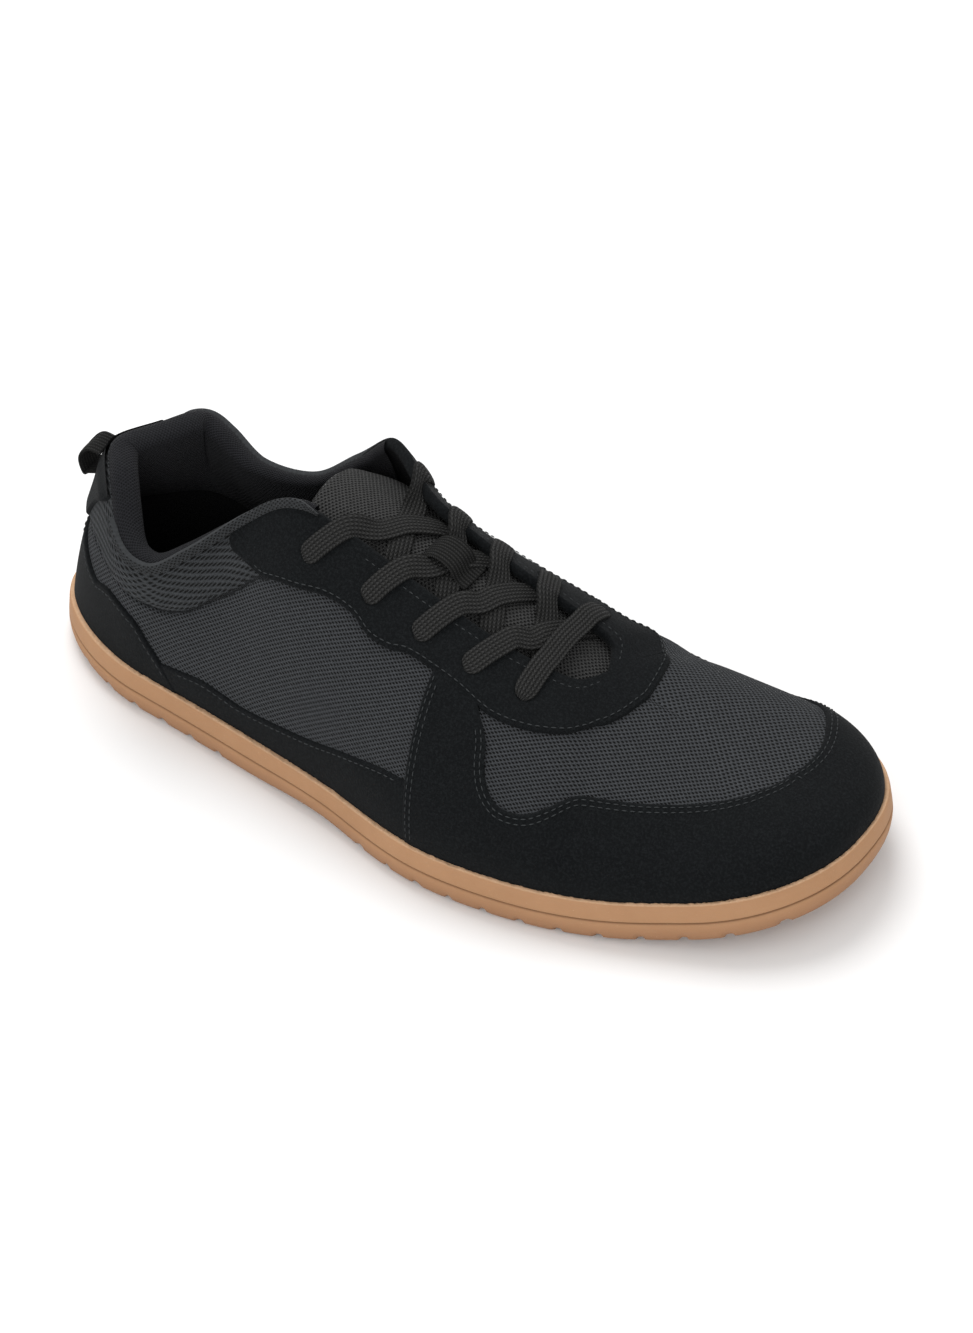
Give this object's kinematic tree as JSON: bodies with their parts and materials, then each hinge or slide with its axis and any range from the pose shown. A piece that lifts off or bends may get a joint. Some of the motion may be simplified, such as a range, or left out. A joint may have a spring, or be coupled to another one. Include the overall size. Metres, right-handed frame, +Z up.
{
  "type": "barefoot shoe",
  "caption": "Low barefoot lace shoe: a wide round toe, knit mesh upper with suede overlays, padded collar, flat lacing over a tongue, heel loop and a thin gum rubber cup sole.",
  "frame": {"origin": "on the floor under the middle of the shoe's length and width", "axes": "+X towards the toe, +Y towards the inner (medial) side of this right shoe, +Z up"},
  "size_m": [0.29, 0.1099, 0.0936],
  "materials": {
    "outsole": "matte gum rubber",
    "insole": "matte cloth over foam",
    "knit": "coarse matte spacer mesh",
    "suede": "matte microsuede",
    "lining": "matte padded knit",
    "tongue_mesh": "matte woven mesh",
    "lace": "ribbed flat braid",
    "webbing": "ribbed webbing"
  },
  "bodies": {
    "root": {"outsole": "outsole", "insole": "insole", "upper": "knit", "eyestay": "suede", "toe_guard": "suede", "quarter_strip_lateral": "suede", "quarter_strip_medial": "suede", "heel_counter": "suede", "heel_tab": "suede", "collar_lining": "lining", "tongue": "tongue_mesh", "lace_crossing_1": "lace", "lace_crossing_2": "lace", "lace_crossing_3": "lace", "lace_crossing_4": "lace", "lace_bar": "lace", "lace_keeper": "webbing", "pull_loop": "webbing"}
  },
  "joints": []
}
